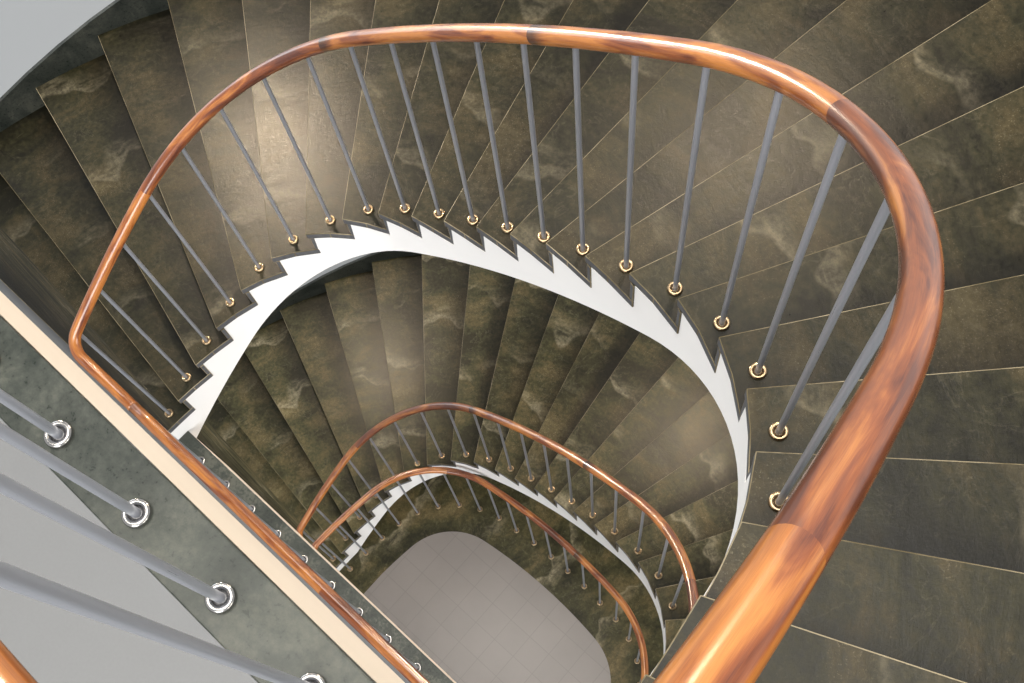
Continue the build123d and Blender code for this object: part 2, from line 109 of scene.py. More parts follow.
# Rail axes: outside the well edge on flights, inside it on the ring, and above the floors
RAIL_INSET = 0.065
RING_INSET = 0.055
RAIL_FOOT = 1.13
RAIL_HEAD = 1.045
WREATH_RADIUS = 0.07
WREATH_CUTS = 18
FOOT_WREATH_RUN = 0.4
HEAD_WREATH_RUN = 0.18
GROUND_WREATH_RUN = 0.25
TURN_RUN = math.radians(90.0) * WREATH_RADIUS
RING_CUTS = 120
RING_CORNER_CUTS = 8
FLIGHT_RAIL_STEP = 0.03
LANDING_RAIL_STEP = 0.1

# Rods start inside the stone; collars have an outer lip, a rolled edge and a bowl under the rod
ROD_SUNK = 0.01
ROD_SIDES = 16
COLLAR_SIDES = 24
COLLAR_CUTS = 8
COLLAR_LIP = 0.001
COLLAR_LIP_HEIGHT = 0.002
COLLAR_BOWL_HEIGHT = 0.003
BOWL_UNDER_ROD = 0.9

# Values between which most of a noise texture lies
NOISE_LOW = 0.3
NOISE_HIGH = 0.7

# Veins: waves in a metre of slab, half widths of a vein and of a hair, and how pale they are
VEIN_WAVES = 1.7
VEIN_WIDTH = 0.035
VEIN_LINE = 0.42
HAIR_WIDTH = 0.010
HAIR_LINE = 0.12

# Skirtings are the edge strips' stone in painted shade: this share of the strips' tone
SKIRTING_PAINTED_SHADE = 0.6

# Camera of the photograph, held over the well's right side: place in metres, heading in degrees,
# and pixels from the image centre to the point straight below it
CAMERA_X = 1.387
CAMERA_Y = 0.083
CAMERA_ABOVE_GROUND = 8.811
CAMERA_HEADING = 41.77
NADIR_RIGHT = 91.0
NADIR_BELOW = 456.1
FOCAL_PIXELS = 1082.0
IMAGE_WIDTH = 1024
SENSOR = 36.0

# Colours of the lights
DAY = (0.90, 0.96, 1.0)
NOON = (1.0, 0.95, 0.87)
WARM = (1.0, 0.80, 0.58)
WHITE = (1.0, 1.0, 1.0)

# Large lights: name, place, target, width in metres, power in watts, colour
LIGHTS = (
    ("overhead", (0.0, 0.4, 22.0), (0.0, 0.4, 0.0), 13.0, 4500.0, NOON),
    ("left", (-30.0, 1.5, 10.0), (0.0, 1.0, 3.0), 17.0, 3000.0, DAY),
    ("right", (30.0, 1.5, 10.0), (0.0, 1.0, 3.0), 17.0, 4600.0, NOON),
    ("front", (14.0, -25.0, 18.0), (0.0, 1.0, 4.0), 16.0, 8000.0, WHITE),
    ("back", (0.0, 30.0, 12.0), (0.0, 0.0, 4.0), 17.0, 5000.0, NOON),
)

# Small warm lamps that show only in the polish of the stone: name, place, power
LAMPS = (
    ("lamp_low_left", (-3.16, 1.81, 3.75), 95.0),
    ("lamp_low_back", (0.0, 3.0, 5.05), 95.0),
    ("lamp_high_left", (-3.25, 1.88, 7.05), 190.0),
    ("lamp_high_back", (-0.52, 3.81, 9.05), 130.0),
)
LAMP_SIZE = 0.3
LAMP_TARGET_Y = 0.5
LAMP_TARGET_DROP = 2.5

# Stage floor: half its side, its level and tones, and how far out the tone changes
FLOOR_REACH = 60.0
FLOOR_LEVEL = -0.002
FLOOR_NEAR = (0.24, 0.25, 0.26)
FLOOR_FAR = (0.62, 0.63, 0.64)
FLOOR_NEAR_END = 9.0
FLOOR_FAR_START = 34.0

# Sky: tone, strength at the horizon and overhead
SKY_TONE = (0.97, 0.985, 1.0)
SKY_LOW = 0.95
SKY_HIGH = 0.5


def sine(degrees):
    return math.sin(math.radians(degrees))


def cosine(degrees):
    return math.cos(math.radians(degrees))


WELL_DEPTH = (
    MIDDLE_RADIUS * (1 - cosine(MIDDLE_TURN))
    + CORNER_RADIUS * (cosine(MIDDLE_TURN) - cosine(CORNER_END))
    + LEG_RADIUS * cosine(CORNER_END)
)
HALF_WELL = (
    MIDDLE_RADIUS * sine(MIDDLE_TURN)
    + CORNER_RADIUS * (sine(CORNER_END) - sine(MIDDLE_TURN))
    + LEG_RADIUS * (1 - sine(CORNER_END))
)


def well_point(heading, outward=0.0):
    """Plan point of the well edge where its direction of travel makes this angle with X."""
    size = abs(heading)
    middle = min(size, MIDDLE_TURN)
    corner = min(max(size, MIDDLE_TURN), CORNER_END)
    leg = max(size, CORNER_END)
    x = MIDDLE_RADIUS * sine(middle) + CORNER_RADIUS * (sine(corner) - sine(MIDDLE_TURN))
    x += LEG_RADIUS * (sine(leg) - sine(CORNER_END))
    y = WELL_DEPTH - MIDDLE_RADIUS * (1 - cosine(middle))
    y -= CORNER_RADIUS * (cosine(MIDDLE_TURN) - cosine(corner))
    y -= LEG_RADIUS * (cosine(CORNER_END) - cosine(leg))
    x += outward * sine(size)
    y += outward * cosine(size)
    return (-x if heading > 0 else x, y)


def well_heading(ray, outward):
    """Direction of travel of the left half of the well edge where a ray crosses it."""
    low = 0.0
    high = 90.0
    for _ in range(HALVINGS):
        heading = (low + high) / 2
        x, y = well_point(heading, outward)
        if math.degrees(math.atan2(y + LINES_BACK, x)) < ray:
            low = heading
        else:
            high = heading
    return heading


def on_straight(ray, side):
    """Whether a ray of the left half meets the short straight in front of the well's arcs."""
    return ray >= 180.0 - math.degrees(math.atan2(LINES_BACK, side))


def well_distance(angle, outward=0.0):
    """Distance from the turning centre to the well edge along a ray at this plan angle."""
    ray = max(angle, 180.0 - angle)
    side = HALF_WELL + outward
    if on_straight(ray, side):
        return side / abs(cosine(ray))
    x, y = well_point(well_heading(ray, outward), outward)
    return math.hypot(x, y + LINES_BACK)


def arc_run(heading, outward):
    """Length of the well edge from its left end to this direction of travel."""
    corner = max(min(heading, CORNER_END), MIDDLE_TURN)
    run = (LEG_RADIUS + outward) * math.radians(90.0 - max(heading, CORNER_END))
    run += (CORNER_RADIUS + outward) * math.radians(CORNER_END - corner)
    return run + (MIDDLE_RADIUS + outward) * math.radians(MIDDLE_TURN - min(heading, MIDDLE_TURN))


def run_share(angle, outward=0.0):
    """Share of the plan length between the foot riser and the head riser, at a plan angle."""
    ray = max(angle, 180.0 - angle)
    side = HALF_WELL + outward
    if on_straight(ray, side):
        run = side * abs(sine(ray) / cosine(ray))
    else:
        run = LINES_BACK + arc_run(well_heading(ray, outward), outward)
    share = run / (2 * (LINES_BACK + arc_run(0.0, outward)))
    return share if angle >= 90.0 else 1 - share


def ray_point(angle, distance, height):
    """Point at this height on a ray from the turning centre."""
    return Vector((distance * cosine(angle), distance * sine(angle) - LINES_BACK, height))


# Node helpers for the procedural materials


def new_material(name):
    material = bpy.data.materials.new(name)
    material.use_nodes = True
    return material, material.node_tree, material.node_tree.nodes["Principled BSDF"]


def feed(tree, node, inputs):
    """Give a node's inputs their values from (name or index, value) pairs; a socket is linked."""
    for key, value in inputs:
        if isinstance(value, bpy.types.NodeSocket):
            tree.links.new(value, node.inputs[key])
        else:
            node.inputs[key].default_value = value


def add_node(tree, kind, inputs=(), **options):
    """New node with options set as attributes and its inputs fed."""
    node = tree.nodes.new(kind)
    for key, value in options.items():
        setattr(node, key, value)
    feed(tree, node, inputs)
    return node


def rgba(colour):
    """A plain colour with full cover; a socket stays as it is."""
    return colour if isinstance(colour, bpy.types.NodeSocket) else (*colour, 1.0)


def part_space(tree):
    """Coordinates in metres in the frame of the part."""
    return add_node(tree, "ShaderNodeTexCoord").outputs["Object"]


def separated(tree, vector):
    return add_node(tree, "ShaderNodeSeparateXYZ", [(0, vector)]).outputs


def combined(tree, inputs):
    return add_node(tree, "ShaderNodeCombineXYZ", inputs).outputs[0]


def math_node(tree, operation, *operands):
    """Math node whose operands are sockets or plain numbers."""
    return add_node(tree, "ShaderNodeMath", enumerate(operands), operation=operation).outputs[0]


def product(tree, first, *factors):
    """Product of sockets and numbers."""
    for factor in factors:
        first = math_node(tree, "MULTIPLY", first, factor)
    return first


def total(tree, parts):
    """Weighted sum of (socket, weight) pairs."""
    result = None
    for socket, weight in parts:
        share = product(tree, socket, weight)
        result = share if result is None else math_node(tree, "ADD", result, share)
    return result


def vector_node(tree, operation, inputs):
    return add_node(tree, "ShaderNodeVectorMath", inputs, operation=operation).outputs


def stretched(tree, vector, factors):
    return vector_node(tree, "MULTIPLY", [(0, vector), (1, factors)])[0]


def scaled_colour(tree, colour, level):
    return vector_node(tree, "SCALE", [(0, colour), ("Scale", level)])[0]


def ramp(tree, factor, stops):
    """Colour ramp with (position, colour) stops."""
    node = add_node(tree, "ShaderNodeValToRGB", [("Fac", factor)])
    elements = node.color_ramp.elements
    while len(elements) < len(stops):
        elements.new(1.0)
    for element, (position, colour) in zip(elements, stops):
        element.position = position
        element.color = rgba(colour)
    return node.outputs["Color"]


def mix(tree, factor, first, second):
    """Mix two colours; each is a socket or a colour."""
    inputs = [(0, factor), (6, rgba(first)), (7, rgba(second))]
    return add_node(tree, "ShaderNodeMix", inputs, data_type="RGBA").outputs[2]


def noise(tree, vector, scale, detail=6.0, rough=0.55, distortion=0.0):
    inputs = [
        ("Vector", vector),
        ("Scale", scale),
        ("Detail", detail),
        ("Roughness", rough),
        ("Distortion", distortion),
    ]
    return add_node(tree, "ShaderNodeTexNoise", inputs).outputs["Fac"]


def span(tree, value, start, end, low, high, interpolation="LINEAR"):
    """Map a value from one range to another, held at both ends."""
    inputs = [
        ("Value", value),
        ("From Min", start),
        ("From Max", end),
        ("To Min", low),
        ("To Max", high),
    ]
    node = add_node(tree, "ShaderNodeMapRange", inputs, interpolation_type=interpolation)
    return node.outputs[0]


def varied(tree, value, low, high):
    """Spread a noise texture between two values."""
    return span(tree, value, NOISE_LOW, NOISE_HIGH, low, high)


def band(tree, value, centre, width):
    """1 on the line where the value equals the centre, falling to 0 at the width."""
    distance = math_node(tree, "ABSOLUTE", math_node(tree, "SUBTRACT", value, centre))
    return span(tree, distance, 0.0, width, 1.0, 0.0, "SMOOTHSTEP")


def bump(tree, shader, height, strength, distance):
    inputs = [("Strength", strength), ("Distance", distance), ("Height", height)]
    node = add_node(tree, "ShaderNodeBump", inputs)
    feed(tree, shader, [("Normal", node.outputs["Normal"])])


# Materials


def slab_space(tree):
    """Coordinates in metres on each slab, its depth from front to back and its lot number."""
    place = add_node(tree, "ShaderNodeUVMap", uv_map="slab").outputs["UV"]
    depth = separated(tree, add_node(tree, "ShaderNodeUVMap", uv_map="depth").outputs["UV"])
    shift = combined(tree, [("Z", product(tree, depth["Y"], LOT_APART))])
    space = vector_node(tree, "ADD", [(0, place), (1, shift)])[0]
    return space, depth["X"], depth["Y"]


def stone_veins(tree, space, cloud, streak, grain, pits):
    """Pale marks: veins feathered on one side, thin hairs and broken crumbs."""
    along = separated(tree, space)
    warp = noise(tree, stretched(tree, space, (1.3, 3.2, 1.0)), 1.0, 2.0, 0.5)
    phase = total(tree, ((along["X"], VEIN_WAVES), (warp, 1.0), (along["Z"], 0.37)))
    wave = math_node(tree, "FRACT", phase)
    where = noise(tree, stretched(tree, space, (1.4, 1.1, 1.7)), 1.0, 3.0)
    here = span(tree, where, 0.44, 0.55, 0.0, 1.0)
    line = product(tree, band(tree, wave, 0.5, VEIN_WIDTH), VEIN_LINE)
    feather = product(
        tree,
        span(tree, wave, 0.51, 0.70, 0.62, 0.0),
        span(tree, wave, 0.47, 0.51, 0.0, 1.0),
        span(tree, streak, 0.40, 0.58, 0.15, 1.0),
    )
    vein = product(tree, math_node(tree, "MAXIMUM", line, feather), here)
    hair = band(tree, noise(tree, space, 3.4, 6.0, 0.6, 1.0), 0.5, HAIR_WIDTH)
    vein = math_node(tree, "MAXIMUM", vein, product(tree, hair, HAIR_LINE))
    broken = span(tree, grain, 0.36, 0.60, 0.5, 1.0)
    crumbs = product(
        tree,
        span(tree, pits, 0.60, 0.68, 0.0, 0.6),
        span(tree, cloud, 0.5, 0.6, 0.0, 1.0),
    )
    return math_node(tree, "MAXIMUM", product(tree, vein, broken), crumbs)


def stair_stone(name, settings, on_slabs, lift):
    """Cleft olive-brown stone: wavy pale veins cross each slab; painted shade darkens its back and
    painted light brightens its front.
    """
    material, tree, shader = new_material(name)
    if on_slabs:
        space, depth, lot = slab_space(tree)
    else:
        space = part_space(tree)
    cloud = noise(tree, stretched(tree, space, (2.6, 1.8, 1.0)), 1.0, 6.0, 0.62, 0.6)
    streak = noise(tree, stretched(tree, space, (11.0, 4.0, 1.0)), 1.0, 7.0, 0.66, 0.7)
    grain = noise(tree, space, 42.0, 7.0, 0.75)
    pits = noise(tree, space, 190.0, 3.0, 0.6)
    stops = (
        (0.46, settings.stone_dark),
        (0.54, settings.stone_green),
        (0.62, settings.stone_brown),
        (0.73, settings.stone_light),
    )
    body = ramp(tree, total(tree, ((cloud, 0.68), (streak, 0.24), (grain, 0.18))), stops)
    pale = stone_veins(tree, space, cloud, streak, grain, pits)
    colour = mix(tree, pale, body, settings.stone_vein)
    level = varied(tree, grain, 0.72 * lift, 1.2 * lift)
    if on_slabs:
        slab_tone = span(tree, lot, 0.0, 1.0, 0.80, 1.18)
        # Painted light and shade: each tread is lighter at its front and darker at its back against the
        # next riser, broken up by the clouds; each riser is darker at its foot
        edge = math_node(tree, "ADD", depth, product(tree, cloud, 0.24))
        fade = span(tree, edge, 0.42, 1.08, 1.15, settings.painted_back_shade, "SMOOTHSTEP")
        level = product(tree, level, slab_tone, fade)
    inputs = [
        ("Base Color", scaled_colour(tree, colour, level)),
        ("Roughness", varied(tree, grain, 0.27, 0.42)),
        ("Specular IOR Level", 0.18),
    ]
    feed(tree, shader, inputs)
    bump(tree, shader, total(tree, ((streak, 1.1), (grain, 0.6), (pits, 0.14))), 0.22, 0.007)
    return material


def plain_stone(name, colour, roughness, scale, spread):
    """Even stone: one colour with a fine cloudy variation."""
    material, tree, shader = new_material(name)
    cloud = noise(tree, part_space(tree), scale, 6.0, 0.65)
    low = tuple(c * (1 - spread) for c in colour)
    high = tuple(min(1.0, c * (1 + spread)) for c in colour)
    tint = ramp(tree, cloud, [(NOISE_LOW, low), (NOISE_HIGH, high)])
    feed(tree, shader, [("Base Color", tint), ("Roughness", roughness)])
    bump(tree, shader, cloud, 0.15, 0.001)
    return material


def arris_highlight(dark, light):
    """Slab edges with a painted highlight, pale in places and dull elsewhere."""
    material, tree, shader = new_material("arris_highlight")
    highlight_patches = noise(tree, part_space(tree), 2.2, 6.0, 0.7)
    # Painted highlight: the pale tone stands for edges catching the light
    tint = ramp(tree, highlight_patches, ((0.45, dark), (0.62, light)))
    feed(tree, shader, [("Base Color", tint), ("Roughness", 0.5), ("Specular IOR Level", 0.3)])
    return material


def mottled_stone(name, dark, grey, pale, share):
    """Dark honed stone with grey-green clouds and pale crumbs, most of them at a share of 1."""
    material, tree, shader = new_material(name)
    space = part_space(tree)
    cloud = noise(tree, space, 5.0, 8.0, 0.66, 0.6)
    crumb = noise(tree, space, 75.0, 6.0, 0.75)
    tone = total(tree, ((cloud, 0.75), (crumb, 0.40)))
    inputs = [
        ("Base Color", ramp(tree, tone, [(0.46, dark), (0.60, grey), (0.74 - 0.08 * share, pale)])),
        ("Roughness", varied(tree, crumb, 0.24, 0.4)),
        ("Specular IOR Level", 0.25),
    ]
    feed(tree, shader, inputs)
    bump(tree, shader, crumb, 0.12, 0.001)
    return material


def tiled_floor(name, colour, tile):
    """Smooth light floor with thin joints on a square grid."""
    material, tree, shader = new_material(name)
    space = part_space(tree)
    inputs = [
        ("Vector", space),
        ("Color1", rgba(colour)),
        ("Color2", rgba(c * 0.96 for c in colour)),
        ("Mortar", rgba(c * 0.84 for c in colour)),
        ("Scale", 1.0),
        ("Mortar Size", 0.003),
        ("Brick Width", tile),
        ("Row Height", tile),
    ]
    tiles = add_node(tree, "ShaderNodeTexBrick", inputs, offset=0.0).outputs["Color"]
    level = varied(tree, noise(tree, space, 1.6, 5.0, 0.6), 0.9, 1.06)
    feed(tree, shader, [("Base Color", scaled_colour(tree, tiles, level)), ("Roughness", 0.32)])
    return material


def smooth_floor(name, colour):
    """Light grey poured floor with a fine fleck."""
    material, tree, shader = new_material(name)
    space = part_space(tree)
    cloud = noise(tree, space, 1.3, 5.0, 0.6)
    fleck = span(tree, noise(tree, space, 220.0, 2.0, 0.5), 0.35, 0.65, 0.98, 1.01)
    level = product(tree, varied(tree, cloud, 0.92, 1.05), fleck)
    inputs = [
        ("Base Color", scaled_colour(tree, colour, level)),
        ("Roughness", varied(tree, cloud, 0.35, 0.5)),
        ("Specular IOR Level", 0.2),
    ]
    feed(tree, shader, inputs)
    return material


def render_coat(name, colour):
    """Smooth painted render with a faint trowelled unevenness."""
    material, tree, shader = new_material(name)
    space = part_space(tree)
    low = tuple(c * 0.97 for c in colour)
    tint = ramp(tree, noise(tree, space, 3.0, 4.0), [(0.35, low), (0.65, colour)])
    feed(tree, shader, [("Base Color", tint), ("Roughness", 0.55), ("Specular IOR Level", 0.15)])
    bump(tree, shader, noise(tree, space, 60.0, 4.0), 0.06, 0.001)
    return material


def rail_wood(settings):
    """Varnished red-brown wood: the first texture axis runs along the rail in metres."""
    material, tree, shader = new_material("rail_wood")
    parts = separated(tree, add_node(tree, "ShaderNodeUVMap", uv_map="along").outputs["UV"])
    length = parts["X"]
    around = product(tree, parts["Y"], 2 * math.pi)
    pieces = math_node(tree, "DIVIDE", length, settings.wood_length)
    number = math_node(tree, "FLOOR", pieces)
    lot = add_node(tree, "ShaderNodeTexWhiteNoise", [("W", number)], noise_dimensions="1D")
    lot = lot.outputs["Value"]
    places = [
        (0, math_node(tree, "MULTIPLY_ADD", lot, 9.0, length)),
        (1, product(tree, math_node(tree, "COSINE", around), 0.5)),
        (2, product(tree, math_node(tree, "SINE", around), 0.5)),
    ]
    space = combined(tree, places)
    blotch = noise(tree, stretched(tree, space, (4.2, 1.5, 1.5)), 1.0, 4.0, 0.5, 0.8)
    fine = noise(tree, stretched(tree, space, (5.0, 20.0, 20.0)), 1.0, 6.0, 0.7, 0.4)
    pores = noise(tree, stretched(tree, space, (30.0, 150.0, 150.0)), 1.0, 3.0, 0.6)
    stops = (
        (0.42, settings.wood_dark),
        (0.53, settings.wood_red),
        (0.67, settings.wood_gold),
    )
    colour = ramp(tree, total(tree, ((blotch, 0.84), (fine, 0.14), (lot, 0.14))), stops)

    # Some lengths are scorched dark beside the splice that starts them
    near = span(tree, math_node(tree, "FRACT", pieces), 0.0, 0.11, 0.0, 1.0)
    near = math_node(tree, "ADD", near, product(tree, blotch, 0.5))
    burnt = span(tree, near, 0.45, 0.9, 0.25, 1.0)
    burnt = math_node(tree, "MAXIMUM", burnt, math_node(tree, "LESS_THAN", lot, 0.6))
    level = product(tree, span(tree, pores, 0.35, 0.6, 0.78, 1.04), burnt)
    inputs = [
        ("Base Color", scaled_colour(tree, colour, level)),
        ("Roughness", 0.4),
        ("Specular IOR Level", 0.1),
        ("Coat Weight", 1.0),
        ("Coat IOR", 1.6),
        ("Coat Roughness", 0.2),
    ]
    feed(tree, shader, inputs)
    bump(tree, shader, fine, 0.06, 0.001)
    return material


def metal(name, colour, roughness, streak, metallic=1.0):
    """Metal with a fine change of polish, drawn out along Z where the streak value is small."""
    material, tree, shader = new_material(name)
    space = stretched(tree, part_space(tree), (1.0, 1.0, streak))
    lines = noise(tree, space, 260.0, 4.0, 0.6)
    inputs = [
        ("Base Color", rgba(colour)),
        ("Metallic", metallic),
        ("Roughness", span(tree, lines, 0.0, 1.0, roughness * 0.75, roughness * 1.3)),
    ]
    feed(tree, shader, inputs)
    bump(tree, shader, lines, 0.05, 0.0005)
    return material


# Shapes


def link_piece(name, form, materials, nodes):
    """Put a finished form into the scene as a piece that stands for these CAD nodes."""
    mesh = bpy.data.meshes.new(name)
    form.to_mesh(mesh)
    form.free()
    for material in materials:
        mesh.materials.append(material)
    piece = bpy.data.objects.new(name, mesh)
    bpy.context.scene.collection.objects.link(piece)
    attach(piece, "root")
    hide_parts(*nodes)
    return piece


def dress(node, material):
    """Give a CAD node that is shown as it is one better material."""
    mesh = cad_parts[node].data
    mesh.materials.clear()
    mesh.materials.append(material)


def welded(node):
    """Editable copy of a CAD node with welded corners."""
    form = bmesh.new()
    form.from_mesh(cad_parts[node].data)
    bmesh.ops.remove_doubles(form, verts=form.verts, dist=WELD)
    return form


def flat_faced(node):
    """Editable copy of a CAD node with welded corners and whole flat faces."""
    form = welded(node)
    bmesh.ops.dissolve_limit(form, angle_limit=FLAT_TURN, verts=form.verts, edges=form.edges)
    return form


def groups(form):
    """Connected vertices of each separate solid."""
    left = set(form.verts)
    found = []
    for seed in form.verts:
        if seed not in left:
            continue
        left.discard(seed)
        group = [seed]
        heap = [seed]
        while heap:
            vertex = heap.pop()
            for edge in vertex.link_edges:
                other = edge.other_vert(vertex)
                if other in left:
                    left.discard(other)
                    group.append(other)
                    heap.append(other)
        found.append(group)
    return found


def islands(node):
    """Lowest and highest corners of each separate solid of a CAD node."""
    form = welded(node)
    boxes = []
    for group in groups(form):
        low = Vector([min(v.co[axis] for v in group) for axis in range(3)])
        high = Vector([max(v.co[axis] for v in group) for axis in range(3)])
        boxes.append((low, high))
    form.free()
    return boxes


def mark_slabs(form):
    """Texture places in metres on each slab, and how far behind its front edge a place lies."""
    place = form.loops.layers.uv.new("slab")
    depth = form.loops.layers.uv.new("depth")
    for index, group in enumerate(groups(form)):
        lot = index * LOT_STEP % 1.0
        polar = {}
        for vertex in group:
            along = vertex.co.y + LINES_BACK
            turn = math.degrees(math.atan2(along, vertex.co.x))
            polar[vertex] = (math.hypot(vertex.co.x, along), turn, vertex.co.z)
        outer = [turn for distance, turn, _ in polar.values() if distance > WALL_RADIUS * OUTER_SHARE]
        front = max(outer)
        width = front - min(outer)
        low = min(height for _, _, height in polar.values())
        high = max(height for _, _, height in polar.values())
        upright = width < STEP_TURN / 2
        for vertex in group:
            distance, turn, height = polar[vertex]
            across = math.radians(front - turn) * distance
            share = (front - turn) / width
            if upright:
                across = height
                # Risers get depths that put painted shade at their foot, fading upwards
                share = RISER_FOOT_SHARE - RISER_SHADE_FADE * (height - low) / (high - low)
            for loop in vertex.link_loops:
                loop[place].uv = (distance, across)
                loop[depth].uv = (share, lot)


def stone_piece(node, materials, width, marked=False):
    """CAD slabs with rounded arrises: material 0 on faces, 1 on arrises, 2 on the sawn well side."""
    form = flat_faced(node)
    for face in form.faces:
        centre = face.calc_center_median()
        outward = Vector((centre.x, centre.y + LINES_BACK, 0.0)).normalized()
        if face.normal.dot(outward) < SAWN_FACING:
            face.material_index = 2
    bmesh.ops.bevel(
        form,
        geom=list(form.edges),
        offset=width,
        segments=ARRIS_CUTS,
        profile=ARRIS_ROUND,
        affect="EDGES",
        material=1,
        clamp_overlap=True,
    )
    if marked:
        mark_slabs(form)
    return link_piece(node + "_rounded", form, materials, [node])


def border_piece(stone, tiles):
    """The border as built, with the light floor running on over the band at its near side."""
    low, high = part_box("well_floor")
    form = flat_faced("well_border")
    bmesh.ops.triangulate(form, faces=form.faces)
    for point, normal in (
        ((low.x, 0, 0), (1, 0, 0)),
        ((high.x, 0, 0), (1, 0, 0)),
        ((0, low.y, 0), (0, 1, 0)),
        ((0, TILES_NEAR, 0), (0, 1, 0)),
    ):
        everything = list(form.verts) + list(form.edges) + list(form.faces)
        bmesh.ops.bisect_plane(form, geom=everything, plane_co=point, plane_no=normal)
    for face in form.faces:
        face.smooth = False
        centre = face.calc_center_median()
        if low.x < centre.x < high.x and TILES_NEAR < centre.y < low.y:
            face.material_index = 1
    return link_piece("well_border_laid", form, [stone, tiles], ["well_border"])


def soffit(climbed):
    """Height of the sloping underside above the floor left below, after a number of steps."""
    return RISE * (1 + climbed) - TREAD - WAIST_DROP


def flight_piece(floor, node, material):
    """Concrete flight as one closed mesh with a smooth winding underside."""
    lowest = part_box(node)[0].z
    form = bmesh.new()

    def column(angle, top, forward):
        """Four corners of the section on one ray; the upper two may stand behind riser stone."""
        distance = well_distance(angle)
        well_under = max(floor + soffit(STEPS * run_share(angle)), lowest)
        wall_under = max(floor + soffit((180.0 - angle) / STEP_TURN), lowest)
        inner_angle = angle - math.degrees(forward / distance)
        outer_angle = angle - math.degrees(forward / WALL_RADIUS)
        places = (
            ray_point(angle, distance, well_under),
            ray_point(angle, WALL_RADIUS, wall_under),
            ray_point(outer_angle, WALL_RADIUS, top),
            ray_point(inner_angle, well_distance(inner_angle), top),
        )
        return [form.verts.new(place) for place in places]

    columns = []
    for step in range(1, STEPS + 1):
        top = floor + RISE * step - TREAD
        for cut in range(SLICES + 1):
            angle = 180.0 - STEP_TURN * (step - 1 + cut / SLICES)
            behind = cut == 0 or (cut == SLICES and step < STEPS)
            columns.append(column(angle, top, RISER if behind else 0.0))
    for before, after in zip(columns, columns[1:]):
        for index in range(4):
            following = (index + 1) % 4
            form.faces.new((before[index], before[following], after[following], after[index]))
    form.faces.new(columns[0])
    form.faces.new(list(reversed(columns[-1])))
    bmesh.ops.remove_doubles(form, verts=form.verts, dist=WELD)
    bmesh.ops.recalc_face_normals(form, faces=form.faces)
    for face in form.faces:
        face.smooth = True
    piece = link_piece(node + "_smooth", form, [material], [node])
    piece.data.set_sharp_from_angle(angle=SHARP_TURN)
    return piece


def smooth_path(points, step):
    """Points at even spacing on a smooth curve through the given points."""
    dense = []
    for index in range(len(points) - 1):
        before = points[max(index - 1, 0)]
        start = points[index]
        end = points[index + 1]
        after = points[min(index + 2, len(points) - 1)]
        gap = (end - start).length
        count = max(2, round(gap / step))
        leaving = (end - before).normalized() * gap
        arriving = (after - start).normalized() * gap
        for part in range(count):
            t = part / count
            at_start = 2 * t**3 - 3 * t**2 + 1
            from_start = t**3 - 2 * t**2 + t
            at_end = 3 * t**2 - 2 * t**3
            into_end = t**3 - t**2
            dense.append(start * at_start + leaving * from_start + end * at_end + arriving * into_end)
    dense.append(points[-1])
    return dense


def rail_piece(node, path, material, settings, closed=False):
    """Round rail along a path, with a texture that runs along it in metres."""
    sides = settings.rail_sides
    form = bmesh.new()
    layer = form.loops.layers.uv.new("along")
    rings = []
    run = [0.0]
    for index, point in enumerate(path):
        if closed:
            ahead = path[(index + 1) % len(path)] - path[index - 1]
        else:
            ahead = path[min(index + 1, len(path) - 1)] - path[max(index - 1, 0)]
        ahead.normalize()
        across = ahead.cross(Vector((0, 0, 1))).normalized()
        up = across.cross(ahead)
        ring = []
        for side in range(sides):
            turn = 2 * math.pi * side / sides
            offset = across * math.cos(turn) + up * math.sin(turn)
            ring.append(form.verts.new(point + offset * settings.rail_radius))
        rings.append(ring)
        if index:
            run.append(run[-1] + (path[index] - path[index - 1]).length)
    pairs = list(zip(rings, rings[1:], run, run[1:]))
    if closed:
        pairs.append((rings[-1], rings[0], run[-1], run[-1] + (path[0] - path[-1]).length))
    for before, after, start, end in pairs:
        for side in range(sides):
            other = (side + 1) % sides
            face = form.faces.new((before[side], before[other], after[other], after[side]))
            face.smooth = True
            places = ((start, side), (start, side + 1), (end, side + 1), (end, side))
            for loop, (along, around) in zip(face.loops, places):
                loop[layer].uv = (along, around / sides)
    if not closed:
        form.faces.new(list(reversed(rings[0])))
        form.faces.new(rings[-1])
    bmesh.ops.recalc_face_normals(form, faces=form.faces)
    return link_piece(node + "_smooth", form, [material], [node])


def rake_height(angle):
    """Height of a flight rail's axis above the floor below: an even slope along its plan line."""
    rise = STOREY + RAIL_HEAD - RAIL_FOOT
    return RAIL_FOOT + rise * run_share(angle, RAIL_INSET)


def wreath(side, line_y, start_height, level, wreath_run):
    """Quarter turn and short straight in which a flight rail eases to a landing rail's level."""
    centre_x = HALF_WELL + RAIL_INSET - WREATH_RADIUS
    centre_y = line_y + WREATH_RADIUS
    points = []
    for cut in range(WREATH_CUTS + 1):
        run = wreath_run * cut / WREATH_CUTS
        angle = min(math.degrees(run / WREATH_RADIUS), 90.0)
        straight = max(run - TURN_RUN, 0.0)
        x = side * (centre_x + WREATH_RADIUS * cosine(angle) - straight)
        y = centre_y - WREATH_RADIUS * sine(angle)
        left = 1 - run / wreath_run
        points.append(Vector((x, y, level + (start_height - level) * left * left)))
    return points


def flight_rail_path(floor, foot, lower_y, upper_y, foot_run):
    """Axis of a flight rail from its lower wreath to its upper one."""
    side = HALF_WELL + RAIL_INSET
    lower_turn = math.degrees(math.atan2(LINES_BACK + lower_y + WREATH_RADIUS, side))
    upper_turn = math.degrees(math.atan2(LINES_BACK + upper_y + WREATH_RADIUS, side))
    lower_height = floor + rake_height(180.0 - lower_turn)
    upper_height = floor + rake_height(upper_turn)
    points = wreath(-1, lower_y, lower_height, floor + foot, foot_run)
    points.reverse()
    for half_step in range(2, 2 * STEPS - 1):
        angle = 180.0 - STEP_TURN * half_step / 2
        height = floor + rake_height(angle)
        points.append(ray_point(angle, well_distance(angle, RAIL_INSET), height))
    points += wreath(1, upper_y, upper_height, floor + STOREY + foot, HEAD_WREATH_RUN)
    return smooth_path(points, FLIGHT_RAIL_STEP)


